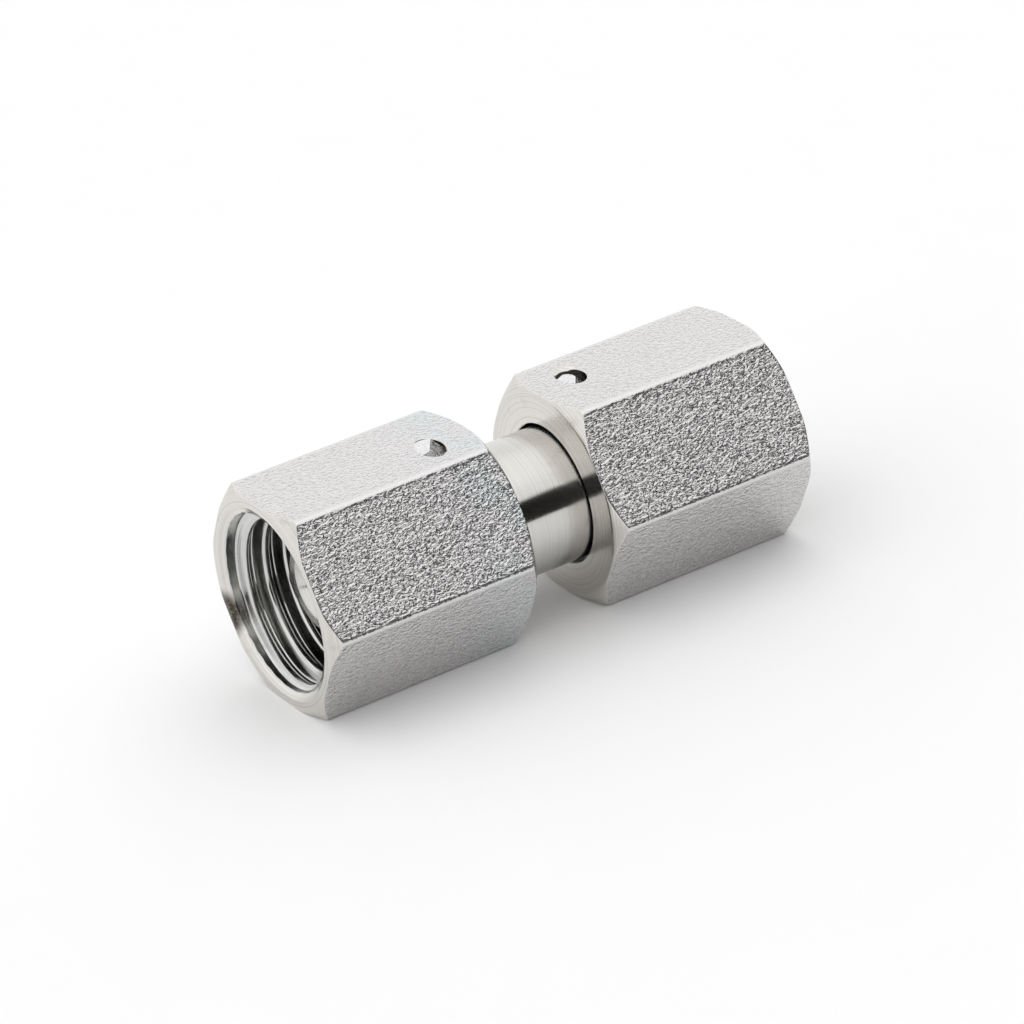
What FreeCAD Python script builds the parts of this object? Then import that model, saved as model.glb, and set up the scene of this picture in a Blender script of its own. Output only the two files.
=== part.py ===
import FreeCAD
import Part

import math
import os

# Straight swivel coupling for 6 mm tube, light series: a turned nipple with a 24 degree sealing cone at
# each end, and a hexagonal swivel nut held on each end by a locking wire. Millimetres throughout.
# The nipple's axis is X, the origin is the middle of the coupling, and the nuts' upper flats face +Z.

# Swivel nut, one pattern used at both ends
ACROSS_FLATS = 14.0
NUT_LENGTH = 15.3
CORNER_RADIUS = 0.4
CHAMFER_ANGLE = 35.0
MOUTH_FACE_OVERSIZE = 0.3
INNER_FACE_OVERSIZE = 0.1

# Connecting thread, metric fine; its ridges are left plain at the minor diameter
THREAD_MAJOR = 12.0
THREAD_PITCH = 1.5
RIDGE_HEIGHT_PER_PITCH = 0.54127
COUNTERSINK_OVERSIZE = 1.0
COUNTERSINK_ANGLE = 120.0
RELIEF_OVERSIZE = 0.3
RELIEF_WIDTH = 1.6

# Neck of the nut, which turns on the nipple
NECK_CLEARANCE = 0.2
NECK_EDGE_BREAK = 0.15

# Nipple
SHANK_DIAMETER = 9.1
NUT_GAP = 5.77
NOSE_DIAMETER = 6.0
NOSE_RECESS = 3.1
NOSE_EDGE_BREAK = 0.15
CONE_ANGLE = 24.0
CONE_LENGTH = 6.1
FLOW_BORE = 3.0
BORE_COUNTERSINK_STEP = 0.55
BORE_COUNTERSINK_ANGLE = 90.0

# Seal ring on each cone
SEAL_SECTION = 1.5
SEAL_SIDE_ROOM = 0.2
SEAL_FLOOR_BELOW_NOSE = 0.5
SEAL_SETBACK = 3.25
SEAL_SEAT_GAP = 0.01

# Locking wire, the groove that it shares between nut and nipple, and the hole that it is driven in by
WIRE_DIAMETER = 1.5
WIRE_SETBACK = 3.12
WIRE_TO_RELIEF = 1.48
WIRE_STAND_OFF = 0.13
WIRE_GROOVE_CLEARANCE = 0.1
WIRE_REST_GAP = 0.03
WIRE_HOLE_CLEARANCE = 0.15
WIRE_HOLE_TILT = 51.0
WIRE_RING_SWEEP = 305.0
WIRE_END_BELOW_FLAT = 0.04
WIRE_TEAR_REACH = 4.0
# Each torn facet of a wire's end: its heading from +X, how far from the wire's middle it starts, and its fall.
# The right-hand wire's headings are those before its half turn.
LEFT_WIRE_TEARS = ((-33.0, 0.0, 35.0),)
RIGHT_WIRE_TEARS = ((180.0, 0.1, 60.0), (-90.0, 0.6, 60.0))

# How far a cutting tool runs past the face it opens
OVERRUN = 1.0

# Worked out from the sizes above
APOTHEM = ACROSS_FLATS / 2
CORNER_REACH = APOTHEM / math.cos(math.pi / 6)
HALF_LENGTH = NUT_GAP / 2 + NUT_LENGTH
SHANK_RADIUS = SHANK_DIAMETER / 2
NECK_RADIUS = SHANK_RADIUS + NECK_CLEARANCE
NECK_LENGTH = WIRE_SETBACK + WIRE_TO_RELIEF
NOSE_RADIUS = NOSE_DIAMETER / 2
NOSE_X = HALF_LENGTH - NOSE_RECESS
CONE_SLOPE = math.tan(math.radians(CONE_ANGLE / 2))
SEAL_FLOOR_RADIUS = NOSE_RADIUS - SEAL_FLOOR_BELOW_NOSE
THREAD_MINOR_RADIUS = THREAD_MAJOR / 2 - RIDGE_HEIGHT_PER_PITCH * THREAD_PITCH
WIRE_RADIUS = WIRE_DIAMETER / 2
WIRE_GROOVE_RADIUS = WIRE_RADIUS + WIRE_GROOVE_CLEARANCE
WIRE_HOLE_RADIUS = WIRE_RADIUS + WIRE_HOLE_CLEARANCE
WIRE_RING_RADIUS = SHANK_RADIUS + WIRE_STAND_OFF
WIRE_SIDE_SHIFT = WIRE_GROOVE_CLEARANCE - WIRE_REST_GAP
WIRE_X = NUT_GAP / 2 + WIRE_SETBACK

X_AXIS = FreeCAD.Vector(1, 0, 0)
Z_AXIS = FreeCAD.Vector(0, 0, 1)
ORIGIN = FreeCAD.Vector(0, 0, 0)


def turned(outline):
    """A solid turned about X from (x, radius) points that start and end on the axis."""
    corners = [FreeCAD.Vector(x, 0, radius) for x, radius in outline]
    wire = Part.makePolygon(corners + corners[:1])
    return Part.Face(wire).revolve(ORIGIN, X_AXIS, 360)


def ring(x, centre_radius, section_radius):
    """A torus about X, centred at x along it."""
    return Part.makeTorus(centre_radius, section_radius, FreeCAD.Vector(x, 0, 0), X_AXIS)


def wire_tangent():
    """Where the wire's ring meets its straight tail, in the YZ plane, and the tail's outward direction."""
    lean = math.radians(90 - WIRE_HOLE_TILT)
    across = FreeCAD.Vector(0, math.sin(lean), math.cos(lean))
    outward = FreeCAD.Vector(0, -math.cos(lean), math.sin(lean))
    length_to_flat = (APOTHEM - WIRE_RING_RADIUS * math.cos(lean)) / math.sin(lean)
    return across * WIRE_RING_RADIUS, outward, length_to_flat


def hexagonal_bar():
    """The nut's hexagonal stock with rounded corners, upper flat facing +Z, right-hand end at x = 0."""
    corners = []
    for index in range(6):
        angle = math.radians(60 * index)
        corners.append(FreeCAD.Vector(0, CORNER_REACH * math.cos(angle), CORNER_REACH * math.sin(angle)))
    outline = Part.Face(Part.makePolygon(corners + corners[:1]))
    bar = outline.extrude(X_AXIS * -NUT_LENGTH)
    along = [edge for edge in bar.Edges if abs(edge.BoundBox.XLength - NUT_LENGTH) < 1e-6]
    return bar.makeFillet(CORNER_RADIUS, along)


def end_chamfers():
    """What the lathe leaves of the hexagonal bar: a barrel with both ends turned to a cone."""
    reach = CORNER_REACH + OVERRUN
    mouth_face = APOTHEM + MOUTH_FACE_OVERSIZE / 2
    inner_face = APOTHEM + INNER_FACE_OVERSIZE / 2
    slope = math.tan(math.radians(CHAMFER_ANGLE))
    return turned([
        (-NUT_LENGTH, 0),
        (-NUT_LENGTH, mouth_face),
        (-NUT_LENGTH + (reach - mouth_face) * slope, reach),
        (-(reach - inner_face) * slope, reach),
        (0, inner_face),
        (0, 0),
    ])


def nut_bore():
    """Everything that is bored out of the nut from its mouth: countersink, thread, relief and neck."""
    mouth = (THREAD_MAJOR + COUNTERSINK_OVERSIZE) / 2
    countersink = (mouth - THREAD_MINOR_RADIUS) / math.tan(math.radians(COUNTERSINK_ANGLE / 2))
    relief = (THREAD_MAJOR + RELIEF_OVERSIZE) / 2
    relief_end = -NECK_LENGTH
    relief_start = relief_end - RELIEF_WIDTH
    return turned([
        (-NUT_LENGTH - OVERRUN, 0),
        (-NUT_LENGTH - OVERRUN, mouth),
        (-NUT_LENGTH, mouth),
        (-NUT_LENGTH + countersink, THREAD_MINOR_RADIUS),
        (relief_start - (relief - THREAD_MINOR_RADIUS), THREAD_MINOR_RADIUS),
        (relief_start, relief),
        (relief_end, relief),
        (relief_end, NECK_RADIUS),
        (-NECK_EDGE_BREAK, NECK_RADIUS),
        (0, NECK_RADIUS + NECK_EDGE_BREAK),
        (OVERRUN, NECK_RADIUS + NECK_EDGE_BREAK),
        (OVERRUN, 0),
    ])


def wire_hole(x):
    """The slanting hole from the upper flat to where it meets the wire groove at a tangent."""
    tangent, outward, length_to_flat = wire_tangent()
    past_flat = WIRE_HOLE_RADIUS * math.tan(math.radians(WIRE_HOLE_TILT)) + OVERRUN
    start = tangent + FreeCAD.Vector(x, 0, 0)
    return Part.makeCylinder(WIRE_HOLE_RADIUS, length_to_flat + past_flat, start, outward)


def swivel_nut():
    """The left-hand nut, built with its inner end at x = 0 and then set in place."""
    nut = hexagonal_bar().common(end_chamfers())
    nut = nut.cut(nut_bore())
    nut = nut.cut(ring(-WIRE_SETBACK, WIRE_RING_RADIUS, WIRE_GROOVE_RADIUS))
    nut = nut.cut(wire_hole(-WIRE_SETBACK))
    return nut.translated(FreeCAD.Vector(-NUT_GAP / 2, 0, 0))


def torn_off(heading, from_middle, fall):
    """The waste above one torn facet of a wire's end, whose middle lies at the origin."""
    drop = (WIRE_TEAR_REACH - from_middle) * math.tan(math.radians(fall))
    outline = [
        (from_middle, 0),
        (WIRE_TEAR_REACH, -drop),
        (WIRE_TEAR_REACH, WIRE_TEAR_REACH),
        (from_middle, WIRE_TEAR_REACH),
    ]
    corners = [FreeCAD.Vector(across, -WIRE_TEAR_REACH, height) for across, height in outline]
    waste = Part.Face(Part.makePolygon(corners + corners[:1]))
    waste = waste.extrude(FreeCAD.Vector(0, 2 * WIRE_TEAR_REACH, 0))
    waste.rotate(ORIGIN, Z_AXIS, heading)
    return waste


def wire_tail(x, tears):
    """The straight end of the wire in the slanting hole: cut off level with the flat, and torn down beside it."""
    tangent, outward, length_to_flat = wire_tangent()
    start = tangent + FreeCAD.Vector(x, 0, 0)
    past_flat = WIRE_RADIUS * math.tan(math.radians(WIRE_HOLE_TILT)) + OVERRUN
    tail = Part.makeCylinder(WIRE_RADIUS, length_to_flat + past_flat, start, outward)
    level = APOTHEM - WIRE_END_BELOW_FLAT
    middle = start + outward * ((level - start.z) / outward.z)
    above = Part.makeBox(2 * WIRE_TEAR_REACH, 2 * WIRE_TEAR_REACH, WIRE_TEAR_REACH)
    above.translate(middle - FreeCAD.Vector(WIRE_TEAR_REACH, WIRE_TEAR_REACH, 0))
    tail = tail.cut(above)
    for heading, from_middle, fall in tears:
        waste = torn_off(heading, from_middle, fall)
        waste.translate(middle)
        tail = tail.cut(waste)
    return tail


def locking_wire(x, tears):
    """A wire on the left-hand nut: from the foot of its tail nearly all the way round as an open ring."""
    tangent, outward, _ = wire_tangent()
    foot = tangent + FreeCAD.Vector(x, 0, 0)
    section = Part.Face(Part.Wire([Part.makeCircle(WIRE_RADIUS, foot, outward)]))
    coil = section.revolve(ORIGIN, X_AXIS * -1, WIRE_RING_SWEEP)
    return coil.fuse(wire_tail(x, tears)).removeSplitter()


def nipple():
    """The turned body, with one groove for each locking wire and one for each seal ring."""
    cone_start = NOSE_X - CONE_LENGTH
    cone_radius = NOSE_RADIUS + CONE_LENGTH * CONE_SLOPE
    edge_radius = NOSE_RADIUS + NOSE_EDGE_BREAK * CONE_SLOPE
    half = [
        (cone_start - abs(SHANK_RADIUS - cone_radius), SHANK_RADIUS),
        (cone_start, cone_radius),
        (NOSE_X - NOSE_EDGE_BREAK, edge_radius),
        (NOSE_X, NOSE_RADIUS - NOSE_EDGE_BREAK),
        (NOSE_X, 0),
    ]
    body = turned(mirrored(half) + half)
    body = body.cut(flow_passage())
    for side in (-1, 1):
        body = body.cut(ring(side * WIRE_X, WIRE_RING_RADIUS, WIRE_GROOVE_RADIUS))
        body = body.cut(seal_groove(side * (NOSE_X - SEAL_SETBACK)))
    return body


def mirrored(outline):
    """The same (x, radius) points on the other side of x = 0, in running order."""
    return [(-x, radius) for x, radius in reversed(outline)]


def flow_passage():
    """The bore through the nipple with a countersink at each nose."""
    bore = FLOW_BORE / 2
    mouth = bore + BORE_COUNTERSINK_STEP
    depth = BORE_COUNTERSINK_STEP / math.tan(math.radians(BORE_COUNTERSINK_ANGLE / 2))
    half = [
        (NOSE_X - depth, bore),
        (NOSE_X, mouth),
        (NOSE_X + OVERRUN, mouth),
        (NOSE_X + OVERRUN, 0),
    ]
    return turned(mirrored(half) + half)


def seal_groove(x):
    """The square-bottomed groove for a seal ring, centred at x."""
    width = SEAL_SECTION + 2 * SEAL_SIDE_ROOM
    start = FreeCAD.Vector(x - width / 2, 0, 0)
    outer = Part.makeCylinder(SHANK_RADIUS + OVERRUN, width, start, X_AXIS)
    return outer.cut(Part.makeCylinder(SEAL_FLOOR_RADIUS, width, start, X_AXIS))


def seal_ring(side):
    """An O-ring seated on its groove's floor."""
    section = SEAL_SECTION / 2
    centre_radius = SEAL_FLOOR_RADIUS + section + SEAL_SEAT_GAP
    return ring(side * (NOSE_X - SEAL_SETBACK), centre_radius, section)


def half_turn(shape):
    """The same piece at the other end: turned half way round the vertical through the middle."""
    other = shape.copy()
    other.rotate(ORIGIN, Z_AXIS, 180)
    return other


def build():
    """Every piece by name. Both wires lie against the same side of their grooves, towards -X, so the right-hand
    wire is built against the other side before its half turn."""
    left_nut = swivel_nut()
    left_wire = locking_wire(-WIRE_X - WIRE_SIDE_SHIFT, LEFT_WIRE_TEARS)
    right_wire = half_turn(locking_wire(-WIRE_X + WIRE_SIDE_SHIFT, RIGHT_WIRE_TEARS))
    return {
        "nipple": nipple(),
        "left_swivel_nut": left_nut,
        "right_swivel_nut": half_turn(left_nut),
        "left_locking_wire": left_wire,
        "right_locking_wire": right_wire,
        "left_seal_ring": seal_ring(-1),
        "right_seal_ring": seal_ring(1),
    }


os.makedirs("parts", exist_ok=True)
for name, shape in build().items():
    print(name, shape.isValid(), len(shape.Solids), round(shape.Volume, 3))
    shape.exportStep(os.path.join("parts", name + ".step"))
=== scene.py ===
"""Looks of a straight hydraulic swivel coupling: two hexagonal nuts on a turned nipple, zinc plated steel."""

import logging
import math
from dataclasses import dataclass
from enum import Enum, IntEnum

import bmesh
import bpy
import numpy as np
from mathutils import Matrix, Vector


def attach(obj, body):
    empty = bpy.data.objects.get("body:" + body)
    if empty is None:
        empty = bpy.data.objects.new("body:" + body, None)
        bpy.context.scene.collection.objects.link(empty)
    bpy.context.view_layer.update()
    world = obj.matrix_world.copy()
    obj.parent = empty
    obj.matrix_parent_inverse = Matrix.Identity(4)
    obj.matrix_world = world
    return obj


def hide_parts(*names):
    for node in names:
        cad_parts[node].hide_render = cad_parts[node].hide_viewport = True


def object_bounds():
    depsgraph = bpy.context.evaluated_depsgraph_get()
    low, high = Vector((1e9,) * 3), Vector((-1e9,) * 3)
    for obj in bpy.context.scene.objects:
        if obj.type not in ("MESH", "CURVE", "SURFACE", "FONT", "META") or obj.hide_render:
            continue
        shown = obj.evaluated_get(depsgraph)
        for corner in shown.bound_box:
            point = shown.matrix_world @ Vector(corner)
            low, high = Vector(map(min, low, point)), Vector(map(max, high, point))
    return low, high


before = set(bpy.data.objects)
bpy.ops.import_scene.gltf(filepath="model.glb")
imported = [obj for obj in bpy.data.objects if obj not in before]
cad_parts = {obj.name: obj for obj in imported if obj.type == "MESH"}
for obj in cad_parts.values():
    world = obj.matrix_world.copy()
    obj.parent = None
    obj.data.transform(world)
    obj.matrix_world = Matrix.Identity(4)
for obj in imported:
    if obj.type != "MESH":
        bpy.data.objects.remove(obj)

CAD_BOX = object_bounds()
LOG = logging.getLogger("swivel_coupling")

# Meshes are worked out in millimetres and brought to metres when a piece is finished.
METRES_PER_MM = 0.001
MERGE_MM = 2e-4
TURN = 2 * math.pi

# An edge that bends more than this shows as an edge.
SHARP_DEGREES = 40.0
DRILL_SEGMENTS = 64

# The mesh attribute that says how far each point belongs to the hexagon's flats, and their headings from +Y.
FLAT_SHARE = "flat_share"
FLAT_HEADINGS = np.radians(30 + 60 * np.arange(6))

# Sizes in millimetres and degrees that several pieces share. The middle of each wire's groove lies WIRE_SETBACK
# inside its nut's inner end, and the wire lies WIRE_PLAY to one side in it.
NUT_GAP = 5.77
WIRE_SETBACK = 3.12
WIRE_CENTRE = NUT_GAP / 2 + WIRE_SETBACK
WIRE_PLAY = 0.07
WIRE_RING_RADIUS = 4.68
WIRE_GROOVE_RADIUS = 0.85
WIRE_TILT = 51.0
SEAL_CENTRE = 11.835


def linear_colour(hex_code: str) -> tuple[float, float, float, float]:
    """Turns an sRGB colour into the linear one that shaders take.

    Args:
        hex_code: six hexadecimal digits.

    Returns:
        Linear red, green and blue, and an alpha of 1.
    """
    linear = []
    for start in (0, 2, 4):
        value = int(hex_code[start:start + 2], 16) / 255
        linear.append(value / 12.92 if value <= 0.04045 else ((value + 0.055) / 1.055) ** 2.4)
    return (*linear, 1.0)


class TreeWriter:
    """A node tree that is being written."""

    def __init__(self, tree: bpy.types.NodeTree) -> None:
        """Keeps the tree."""
        self.tree = tree

    def feed(self, target: bpy.types.NodeSocket, source: object) -> None:
        """Links an input to what feeds it, or sets it to a constant.

        Args:
            target: the input.
            source: a socket, a Formula or a plain value.
        """
        source = source.socket if isinstance(source, Formula) else source
        if isinstance(source, bpy.types.NodeSocket):
            self.tree.links.new(source, target)
        else:
            target.default_value = source

    def node(self, kind: str, settings: dict | None = None, inputs: dict | None = None) -> bpy.types.Node:
        """Adds one node.

        Args:
            kind: the node's type name.
            settings: values of its own properties.
            inputs: what feeds each input, by name or number.

        Returns:
            The new node.
        """
        node = self.tree.nodes.new(kind)
        for name, value in (settings or {}).items():
            setattr(node, name, value)
        for key, value in (inputs or {}).items():
            self.feed(node.inputs[key], value)
        return node

    def number(self, kind: str, settings: dict | None = None, inputs: dict | None = None,
               output: int | str = 0) -> "Formula":
        """Adds a node and takes one of its outputs to calculate with."""
        return Formula(self, self.node(kind, settings, inputs).outputs[output])


class Formula:
    """A number inside a node tree, so that a rule can be written as ordinary arithmetic."""

    def __init__(self, writer: TreeWriter, socket: bpy.types.NodeSocket) -> None:
        """Keeps the tree's writer and the socket that carries the number."""
        self.writer = writer
        self.socket = socket

    def math(self, operation: str, *others: "Formula | float") -> "Formula":
        """Combines this number with others by an operation of the Math node."""
        inputs = dict(enumerate((self, *others)))
        return self.writer.number("ShaderNodeMath", {"operation": operation}, inputs)

    def __add__(self, other: "Formula | float") -> "Formula":
        """This number plus the other."""
        return self.math("ADD", other)

    def __sub__(self, other: "Formula | float") -> "Formula":
        """This number less the other."""
        return self.math("SUBTRACT", other)

    def __mul__(self, other: "Formula | float") -> "Formula":
        """This number times the other."""
        return self.math("MULTIPLY", other)

    def __truediv__(self, other: "Formula | float") -> "Formula":
        """This number divided by the other."""
        return self.math("DIVIDE", other)

    def ramp(self, low: "Formula | float", high: "Formula | float") -> "Formula":
        """Rises smoothly from 0 at low to 1 at high."""
        return self.writer.number("ShaderNodeMapRange", {"interpolation_type": "SMOOTHSTEP"},
                                  {0: self, 1: low, 2: high, 3: 0.0, 4: 1.0})


class RuleTree(TreeWriter):
    """A geometry node tree with named inputs, run once on an object and then baked to a plain mesh."""

    def __init__(self, name: str) -> None:
        """Makes the tree with its geometry input and output."""
        super().__init__(bpy.data.node_groups.new(name, "GeometryNodeTree"))
        self.identifiers: dict[str, str] = {}
        self.tree.interface.new_socket("Geometry", in_out="OUTPUT", socket_type="NodeSocketGeometry")
        self.tree.interface.new_socket("Geometry", in_out="INPUT", socket_type="NodeSocketGeometry")
        self.entry = self.node("NodeGroupInput")

    def named_inputs(self, *names: str, kind: str = "Float") -> list[Formula]:
        """Adds named inputs to the tree.

        Args:
            names: what the inputs are called.
            kind: Float, Int or Material.

        Returns:
            The inputs, ready to calculate with.
        """
        for name in names:
            socket = self.tree.interface.new_socket(name, in_out="INPUT", socket_type="NodeSocket" + kind)
            self.identifiers[name] = socket.identifier
        return [Formula(self, self.entry.outputs[name]) for name in names]

    def turned_grid(self, segments: Formula, rows: Formula) -> tuple[bpy.types.Node, Formula, Formula]:
        """Lays a grid whose rows are to run round the X axis.

        Args:
            segments: how many faces a row has.
            rows: how many rows of points there are.

        Returns:
            The grid, each point's row and its share of a turn.
        """
        columns = segments + 1.0
        grid = self.node("GeometryNodeMeshGrid", inputs={"Vertices X": rows, "Vertices Y": columns})
        index = self.number("GeometryNodeInputIndex")
        row = (index / columns).math("FLOOR")
        return grid, row, (index - row * columns) / segments

    def turned(self, grid: bpy.types.Node, along: Formula, radius: Formula,
               turns: Formula) -> bpy.types.NodeSocket:
        """Sets the points of a grid round the X axis.

        Args:
            grid: the grid.
            along: each point's place along the axis.
            radius: its distance from the axis.
            turns: its share of a turn.

        Returns:
            The turned surface.
        """
        angle = turns * TURN
        point = self.node("ShaderNodeCombineXYZ", inputs={
            "X": along, "Y": radius * angle.math("COSINE"), "Z": radius * angle.math("SINE")})
        inputs = {"Geometry": grid.outputs["Mesh"], "Position": point.outputs[0]}
        return self.node("GeometryNodeSetPosition", inputs=inputs).outputs[0]

    def close(self, geometry: bpy.types.NodeSocket, faces: "Formula | bool" = True) -> None:
        """Ends the tree with smooth faces, realised instances and the material input.

        Args:
            geometry: what the rule has made.
            faces: which faces take the material.
        """
        smooth = self.node("GeometryNodeSetShadeSmooth", inputs={"Geometry": geometry})
        real = self.node("GeometryNodeRealizeInstances", inputs={"Geometry": smooth.outputs[0]})
        [finish] = self.named_inputs("Finish", kind="Material")
        made = self.node("GeometryNodeSetMaterial",
                         inputs={"Geometry": real.outputs[0], "Selection": faces, "Material": finish})
        self.node("NodeGroupOutput", inputs={"Geometry": made.outputs[0]})

    def run(self, start: bpy.types.Mesh, values: dict) -> bpy.types.Mesh:
        """Runs the tree on a mesh.

        Args:
            start: the mesh that goes into the tree.
            values: the value of each named input.

        Returns:
            The result as a plain mesh.
        """
        holder = add_object(self.tree.name, start)
        modifier = holder.modifiers.new(self.tree.name, "NODES")
        modifier.node_group = self.tree
        for name, value in values.items():
            modifier[self.identifiers[name]] = value
        result = plain_mesh(holder)
        bpy.data.objects.remove(holder)
        return result


def add_object(name: str, data: bpy.types.ID) -> bpy.types.Object:
    """Makes an object and puts it in the scene.

    Args:
        name: the object's name.
        data: its mesh or camera.

    Returns:
        The object.
    """
    made = bpy.data.objects.new(name, data)
    bpy.context.scene.collection.objects.link(made)
    return made


def plain_mesh(holder: bpy.types.Object) -> bpy.types.Mesh:
    """The mesh that an object has once its modifiers have run."""
    bpy.context.view_layer.update()
    return bpy.data.meshes.new_from_object(holder.evaluated_get(bpy.context.evaluated_depsgraph_get()))


def turning_rule() -> RuleTree:
    """A rule that turns a closed section about the X axis.

    The section is a mesh of points in running order, with X along the axis and Z the radius.

    Returns:
        The tree, with the number of segments as its input.
    """
    rule = RuleTree("turned_body")
    [segments] = rule.named_inputs("Segments", kind="Int")
    section = rule.entry.outputs["Geometry"]
    rows = rule.number("GeometryNodeAttributeDomainSize", inputs={"Geometry": section}, output="Point Count")
    grid, row, turns = rule.turned_grid(segments, rows + 1.0)
    place = rule.node("GeometryNodeInputPosition")
    sample = rule.node("GeometryNodeSampleIndex", {"data_type": "FLOAT_VECTOR"}, {
        "Geometry": section, "Value": place.outputs[0], "Index": row.math("FLOORED_MODULO", rows)})
    split = rule.node("ShaderNodeSeparateXYZ", inputs={0: sample.outputs[0]})
    along, radius = (Formula(rule, split.outputs[axis]) for axis in "XZ")
    rule.close(rule.turned(grid, along, radius, turns))
    return rule


def thread_rule() -> RuleTree:
    """A rule for the wall of a threaded bore, from its countersunk mouth to the relief behind the thread.

    Each row of the grid follows the helix, so crests and roots are clean lines. Rows that would run out past
    an end lie on that end's circle.

    Returns:
        The tree, with the thread's sizes as its inputs.
    """
    rule = RuleTree("threaded_wall")
    segments, per_pitch = rule.named_inputs("Segments", "Rows per Pitch", kind="Int")
    pitch, minor, major, start = rule.named_inputs("Pitch", "Minor Radius", "Major Radius", "Start")
    flank, rounding = rule.named_inputs("Flank Slope", "Rounding")
    root_flat, wear = rule.named_inputs("Root Flat", "Lead-in Wear")
    mouth, mouth_radius, mouth_slope = rule.named_inputs("Mouth", "Mouth Radius", "Countersink Slope")
    relief, relief_radius = rule.named_inputs("Relief", "Relief Radius")
    rows = ((relief - mouth) / pitch + 1.0).math("CEIL") * per_pitch + 1.0
    grid, row, turns = rule.turned_grid(segments, rows)
    along = mouth + (row / per_pitch + turns - 1.0) * pitch
    held = along.math("MAXIMUM", mouth).math("MINIMUM", relief)
    from_root = ((row / per_pitch + start).math("FRACT") - 0.5).math("ABSOLUTE") * pitch
    worn = (held - mouth).ramp(pitch, pitch / 2.0) * wear
    ridge = major - (from_root - (root_flat + worn) / 2.0) * flank
    ridge = ridge.math("SMOOTH_MIN", major, rounding).math("SMOOTH_MAX", minor, rounding)
    countersink = mouth_radius - (held - mouth) * mouth_slope
    run_out = relief_radius - (relief - held)
    radius = ridge.math("MAXIMUM", countersink).math("MAXIMUM", run_out)
    wall = rule.turned(grid, held, radius, turns)
    merged = rule.node("GeometryNodeMergeByDistance", inputs={"Geometry": wall, "Distance": MERGE_MM})
    rule.close(merged.outputs[0])
    return rule


def relief_rule() -> RuleTree:
    """A rule that sinks the grain of drawn bar into the flats, inwards only.

    Returns:
        The tree, with the grain's size and depth and a seed as its inputs.
    """
    rule = RuleTree("drawn_bar_relief")
    grain, depth, seed = rule.named_inputs("Grain", "Depth", "Seed")
    place = rule.node("GeometryNodeInputPosition")
    scale = rule.number("ShaderNodeMath", {"operation": "DIVIDE"}, {0: 1.0, 1: grain})
    noise = rule.number("ShaderNodeTexNoise", {"noise_dimensions": "4D"}, {
        "Vector": place.outputs[0], "W": seed, "Scale": scale, "Detail": 1.0, "Roughness": 0.5})
    share = rule.number("GeometryNodeInputNamedAttribute", inputs={"Name": FLAT_SHARE})
    sunk = (noise - 1.0) * depth * share
    normal = rule.node("GeometryNodeInputNormal")
    offset = rule.node("ShaderNodeVectorMath", {"operation": "SCALE"}, {0: normal.outputs[0], "Scale": sunk})
    moved = rule.node("GeometryNodeSetPosition",
                      inputs={"Geometry": rule.entry.outputs["Geometry"], "Offset": offset.outputs[0]})
    slot = rule.number("GeometryNodeInputMaterialIndex")
    rule.close(moved.outputs[0], slot.math("LESS_THAN", 0.5))
    return rule


def wire_rule() -> RuleTree:
    """A rule that draws a round wire along a path of points.

    Returns:
        The tree, with the wire's radius and its number of sides as inputs.
    """
    rule = RuleTree("drawn_wire")
    [radius] = rule.named_inputs("Radius")
    [sides] = rule.named_inputs("Sides", kind="Int")
    path = rule.node("GeometryNodeMeshToCurve", inputs={"Mesh": rule.entry.outputs["Geometry"]})
    section = rule.node("GeometryNodeCurvePrimitiveCircle", inputs={"Resolution": sides, "Radius": radius})
    tube = rule.node("GeometryNodeCurveToMesh", inputs={
        "Curve": path.outputs[0], "Profile Curve": section.outputs[0], "Fill Caps": True})
    rule.close(tube.outputs[0])
    return rule


class Side(Enum):
    """The two ends of the coupling. A piece is made for the left end and turned half round for the right."""

    LEFT = "left"
    RIGHT = "right"

    @property
    def nut_body(self) -> str:
        """The body that the nut at this end moves with."""
        return f"{self.value}_nut_body"

    @property
    def turn(self) -> Matrix:
        """How a left-hand piece is turned to stand at this end."""
        return Matrix.Rotation(0.0 if self is Side.LEFT else math.pi, 4, "Z")


class NutFinish(IntEnum):
    """The finishes of a nut, by the number of its material."""

    FLATS = 0
    BORE = 1
    ENDS = 2
    HOLE = 3


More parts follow.
